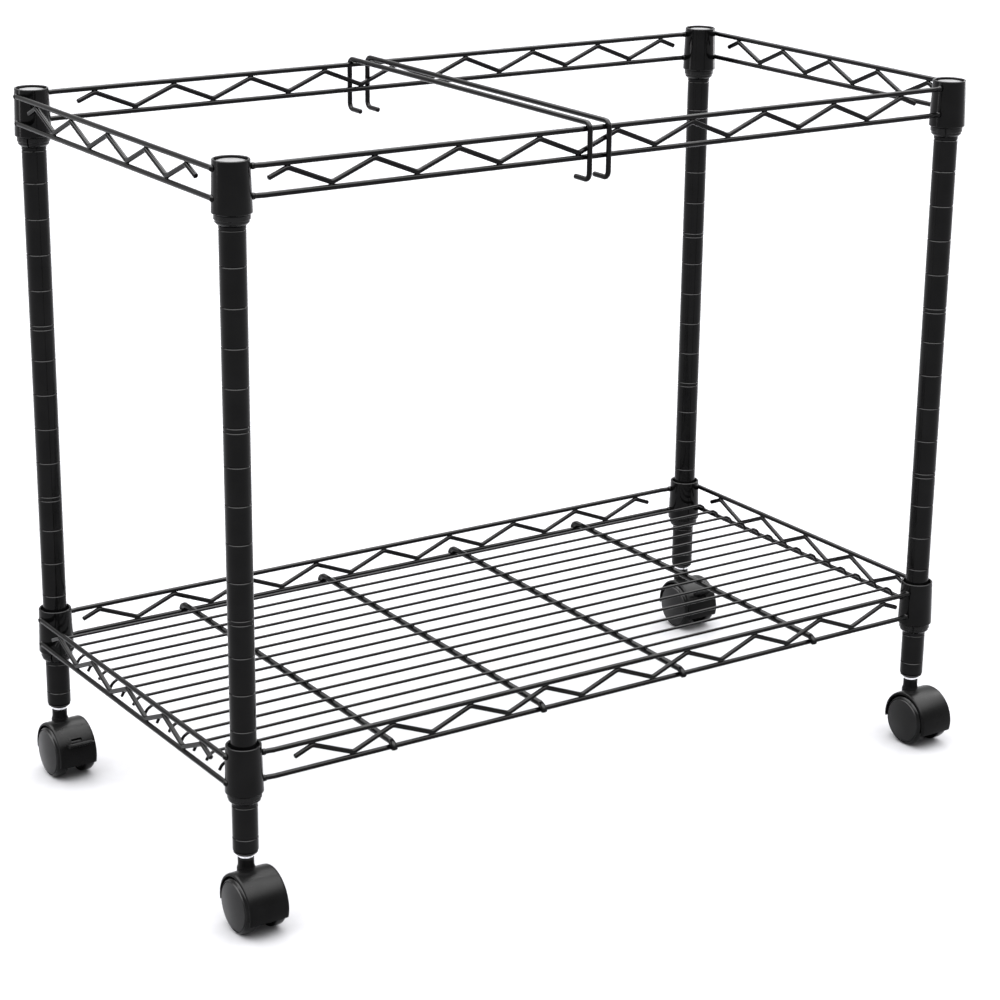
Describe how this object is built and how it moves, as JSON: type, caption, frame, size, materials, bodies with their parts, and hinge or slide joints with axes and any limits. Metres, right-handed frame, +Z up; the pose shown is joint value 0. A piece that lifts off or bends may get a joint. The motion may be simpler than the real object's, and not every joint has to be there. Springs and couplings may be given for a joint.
{
  "type": "rolling wire file cart",
  "caption": "Open wire cart on casters: slim grooved posts, truss-sided top frame with sliding file rods, wire deck shelf below.",
  "frame": {"origin": "on the floor, under the centre of the overall box", "axes": "+Z up, +X along the long side, +Y from front to back; at rest every caster trails towards -Y"},
  "size_m": [0.6134, 0.3366, 0.5089],
  "materials": {
    "post_coat": "gloss black powder coat",
    "wire_coat": "gloss black powder coat",
    "sleeve_plastic": "satin black",
    "cap_plastic": "satin grey",
    "plug_plastic": "satin black",
    "zinc": "bright zinc plate",
    "hood_plastic": "satin black",
    "wheel_plastic": "satin black"
  },
  "bodies": {
    "frame": {"post_front_left": "post_coat", "post_cap_front_left": "cap_plastic", "post_insert_front_left": "plug_plastic", "top_sleeve_front_left": "sleeve_plastic", "shelf_sleeve_front_left": "sleeve_plastic", "caster_stem_front_left": "zinc", "post_front_right": "post_coat", "post_cap_front_right": "cap_plastic", "post_insert_front_right": "plug_plastic", "top_sleeve_front_right": "sleeve_plastic", "shelf_sleeve_front_right": "sleeve_plastic", "caster_stem_front_right": "zinc", "post_back_left": "post_coat", "post_cap_back_left": "cap_plastic", "post_insert_back_left": "plug_plastic", "top_sleeve_back_left": "sleeve_plastic", "shelf_sleeve_back_left": "sleeve_plastic", "caster_stem_back_left": "zinc", "post_back_right": "post_coat", "post_cap_back_right": "cap_plastic", "post_insert_back_right": "plug_plastic", "top_sleeve_back_right": "sleeve_plastic", "shelf_sleeve_back_right": "sleeve_plastic", "caster_stem_back_right": "zinc", "top_truss_front": "wire_coat", "top_truss_back": "wire_coat", "top_side_left": "wire_coat", "top_side_right": "wire_coat", "shelf_truss_front": "wire_coat", "shelf_truss_back": "wire_coat", "shelf_side_left": "wire_coat", "shelf_side_right": "wire_coat", "shelf_deck": "wire_coat"},
    "caster_front_left": {"caster_hood_front_left": "hood_plastic", "caster_axle_front_left": "zinc"},
    "wheel_left_front_left": {"caster_wheel_left_front_left": "wheel_plastic"},
    "wheel_right_front_left": {"caster_wheel_right_front_left": "wheel_plastic"},
    "caster_front_right": {"caster_hood_front_right": "hood_plastic", "caster_axle_front_right": "zinc"},
    "wheel_left_front_right": {"caster_wheel_left_front_right": "wheel_plastic"},
    "wheel_right_front_right": {"caster_wheel_right_front_right": "wheel_plastic"},
    "caster_back_left": {"caster_hood_back_left": "hood_plastic", "caster_axle_back_left": "zinc"},
    "wheel_left_back_left": {"caster_wheel_left_back_left": "wheel_plastic"},
    "wheel_right_back_left": {"caster_wheel_right_back_left": "wheel_plastic"},
    "brake_back_left": {"brake_lever_back_left": "hood_plastic"},
    "caster_back_right": {"caster_hood_back_right": "hood_plastic", "caster_axle_back_right": "zinc"},
    "wheel_left_back_right": {"caster_wheel_left_back_right": "wheel_plastic"},
    "wheel_right_back_right": {"caster_wheel_right_back_right": "wheel_plastic"},
    "brake_back_right": {"brake_lever_back_right": "hood_plastic"},
    "rod_left": {"file_rod_left": "wire_coat"},
    "rod_right": {"file_rod_right": "wire_coat"}
  },
  "joints": [
    {"name": "swivel_front_left", "type": "hinge", "parent": "frame", "child": "caster_front_left", "pos_m": [-0.28915, -0.13586, 0.04], "axis": [0, 0, 1], "continuous": true},
    {"name": "spin_left_front_left", "type": "hinge", "parent": "caster_front_left", "child": "wheel_left_front_left", "pos_m": [-0.30115, -0.14636, 0.019], "axis": [1, 0, 0], "continuous": true},
    {"name": "spin_right_front_left", "type": "hinge", "parent": "caster_front_left", "child": "wheel_right_front_left", "pos_m": [-0.27715, -0.14636, 0.019], "axis": [1, 0, 0], "continuous": true},
    {"name": "swivel_front_right", "type": "hinge", "parent": "frame", "child": "caster_front_right", "pos_m": [0.28915, -0.13586, 0.04], "axis": [0, 0, 1], "continuous": true},
    {"name": "spin_left_front_right", "type": "hinge", "parent": "caster_front_right", "child": "wheel_left_front_right", "pos_m": [0.27715, -0.14636, 0.019], "axis": [1, 0, 0], "continuous": true},
    {"name": "spin_right_front_right", "type": "hinge", "parent": "caster_front_right", "child": "wheel_right_front_right", "pos_m": [0.30115, -0.14636, 0.019], "axis": [1, 0, 0], "continuous": true},
    {"name": "swivel_back_left", "type": "hinge", "parent": "frame", "child": "caster_back_left", "pos_m": [-0.28915, 0.15544, 0.04], "axis": [0, 0, 1], "continuous": true},
    {"name": "spin_left_back_left", "type": "hinge", "parent": "caster_back_left", "child": "wheel_left_back_left", "pos_m": [-0.30115, 0.14494, 0.019], "axis": [1, 0, 0], "continuous": true},
    {"name": "spin_right_back_left", "type": "hinge", "parent": "caster_back_left", "child": "wheel_right_back_left", "pos_m": [-0.27715, 0.14494, 0.019], "axis": [1, 0, 0], "continuous": true},
    {"name": "brake_back_left_press", "type": "hinge", "parent": "caster_back_left", "child": "brake_back_left", "pos_m": [-0.28915, 0.12926, 0.0288], "axis": [1, 0, 0], "range_deg": [-36, 0]},
    {"name": "swivel_back_right", "type": "hinge", "parent": "frame", "child": "caster_back_right", "pos_m": [0.28915, 0.15544, 0.04], "axis": [0, 0, 1], "continuous": true},
    {"name": "spin_left_back_right", "type": "hinge", "parent": "caster_back_right", "child": "wheel_left_back_right", "pos_m": [0.27715, 0.14494, 0.019], "axis": [1, 0, 0], "continuous": true},
    {"name": "spin_right_back_right", "type": "hinge", "parent": "caster_back_right", "child": "wheel_right_back_right", "pos_m": [0.30115, 0.14494, 0.019], "axis": [1, 0, 0], "continuous": true},
    {"name": "brake_back_right_press", "type": "hinge", "parent": "caster_back_right", "child": "brake_back_right", "pos_m": [0.28915, 0.12926, 0.0288], "axis": [1, 0, 0], "range_deg": [0, 36]},
    {"name": "rod_slide_left", "type": "slide", "parent": "frame", "child": "rod_left", "axis": [1, 0, 0], "range_m": [-0.235, 0.005]},
    {"name": "rod_slide_right", "type": "slide", "parent": "frame", "child": "rod_right", "axis": [1, 0, 0], "range_m": [-0.005, 0.285]}
  ]
}
